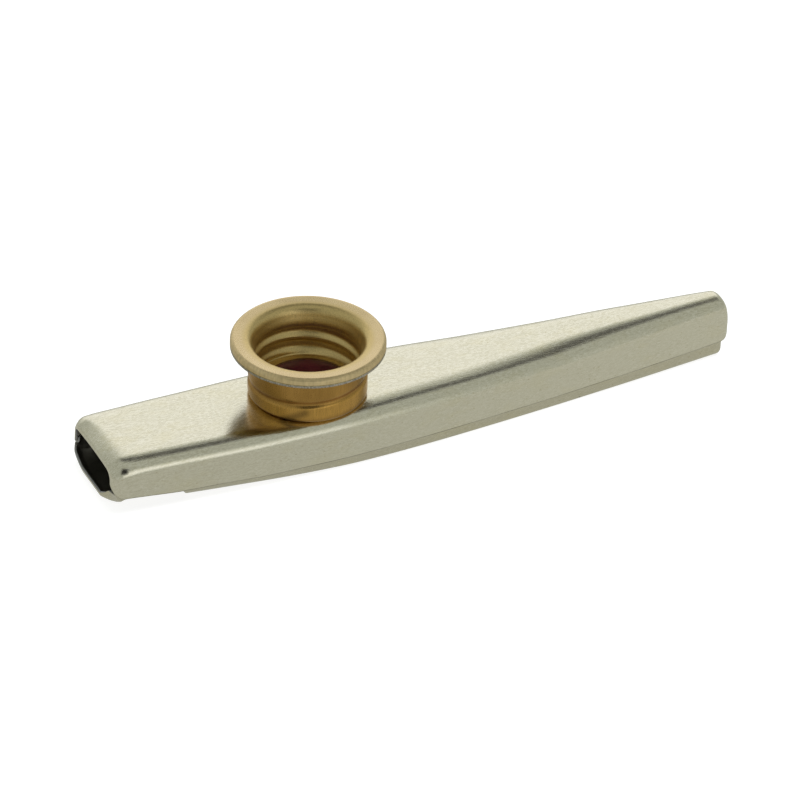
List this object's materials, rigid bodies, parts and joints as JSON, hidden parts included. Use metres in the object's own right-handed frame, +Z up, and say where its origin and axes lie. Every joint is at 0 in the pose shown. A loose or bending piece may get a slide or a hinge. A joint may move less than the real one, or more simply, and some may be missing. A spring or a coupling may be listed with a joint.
{
  "type": "kazoo",
  "caption": "Metal kazoo with a boat-shaped two-shell body, a wide flat mouth end, a narrow nose and a flanged screw cap that clamps a membrane in its turret.",
  "frame": {"origin": "centre of the bounding box at the bottom, on the plane that the floor rests on", "axes": "+X along the body from the mouth end to the narrow nose, +Z up through the turret, +Y to the far side"},
  "size_m": [0.1194, 0.0264, 0.0214],
  "materials": {
    "tinplate": "satin",
    "tinplate_under": "satin",
    "socket_brass": "satin",
    "cap_brass": "satin",
    "film": "matte",
    "fibre": "matte"
  },
  "bodies": {
    "body": {"top_shell": "tinplate", "bottom_shell": "tinplate_under", "turret_socket": "socket_brass"},
    "membrane_cartridge": {"membrane": "film", "membrane_ring": "fibre"},
    "cap": {"screw_cap": "cap_brass"}
  },
  "joints": [
    {"name": "cap_turn", "type": "hinge", "parent": "body", "child": "membrane_cartridge", "pos_m": [-0.02035, 0, 0.01029], "axis": [-0.0188, 0, 0.9998], "range_deg": [0, 905]},
    {"name": "cap_lift", "type": "slide", "parent": "membrane_cartridge", "child": "cap", "axis": [-0.0188, 0, 0.9998], "range_m": [0, 0.0075]}
  ],
  "couplings": [
    {"joint": "cap_turn", "follows": "cap_lift", "rad_per_m": 2094.4}
  ]
}
